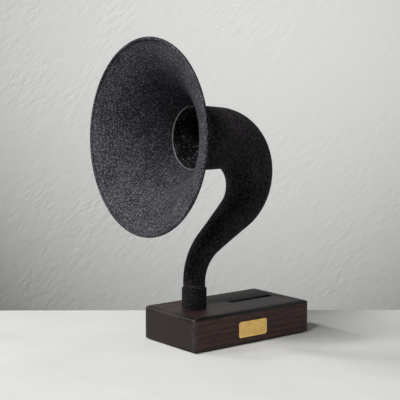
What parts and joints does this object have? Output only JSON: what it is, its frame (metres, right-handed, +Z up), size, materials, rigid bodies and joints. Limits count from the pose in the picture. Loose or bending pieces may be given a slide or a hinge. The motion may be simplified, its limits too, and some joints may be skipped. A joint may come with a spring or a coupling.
{
  "type": "acoustic phone horn",
  "caption": "Gramophone-style acoustic horn: flared bell on a tapered swan neck that turns and lifts out of a collar on a slotted wooden base.",
  "frame": {"origin": "centre of the base's felt underside, on the table", "axes": "+Z up, +X along the base from the horn's end towards the phone slot, the bell faces -X, the plate is on the -Y face"},
  "size_m": [0.2444, 0.254, 0.4028],
  "materials": {
    "base_block": "dark stained, oiled",
    "channel_cover": "plain sawn",
    "screws": "zinc plated",
    "base_felt": "pressed felt",
    "slot_pads": "pressed felt",
    "name_plate": "brushed",
    "plate_tape": "foam tape",
    "collar_gasket": "matt",
    "collar_coat": "wrinkled powder coat",
    "fixing_steel": "zinc plated",
    "neck_bush": "moulded",
    "neck_coat": "wrinkled powder coat",
    "bell_coat": "wrinkled powder coat"
  },
  "bodies": {
    "base": {"base_block": "base_block", "channel_cover": "channel_cover", "cover_screw_1": "screws", "cover_screw_2": "screws", "cover_screw_3": "screws", "cover_screw_4": "screws", "base_felt": "base_felt", "slot_pad_left": "slot_pads", "slot_pad_right": "slot_pads", "name_plate": "name_plate", "plate_tape": "plate_tape", "collar_gasket": "collar_gasket", "socket_collar": "collar_coat", "socket_tube": "fixing_steel", "socket_washer": "fixing_steel", "lock_nut": "fixing_steel"},
    "bush": {"neck_bush": "neck_bush"},
    "horn": {"neck_spigot": "neck_coat", "swan_neck": "neck_coat", "throat_ring": "bell_coat", "horn_bell": "bell_coat"}
  },
  "joints": [
    {"name": "horn_swivel", "type": "hinge", "parent": "base", "child": "bush", "pos_m": [-0.058, 0, 0.06], "axis": [0, 0, 1], "continuous": true},
    {"name": "horn_lift", "type": "slide", "parent": "bush", "child": "horn", "axis": [0, 0, 1], "range_m": [0, 0.03]}
  ]
}
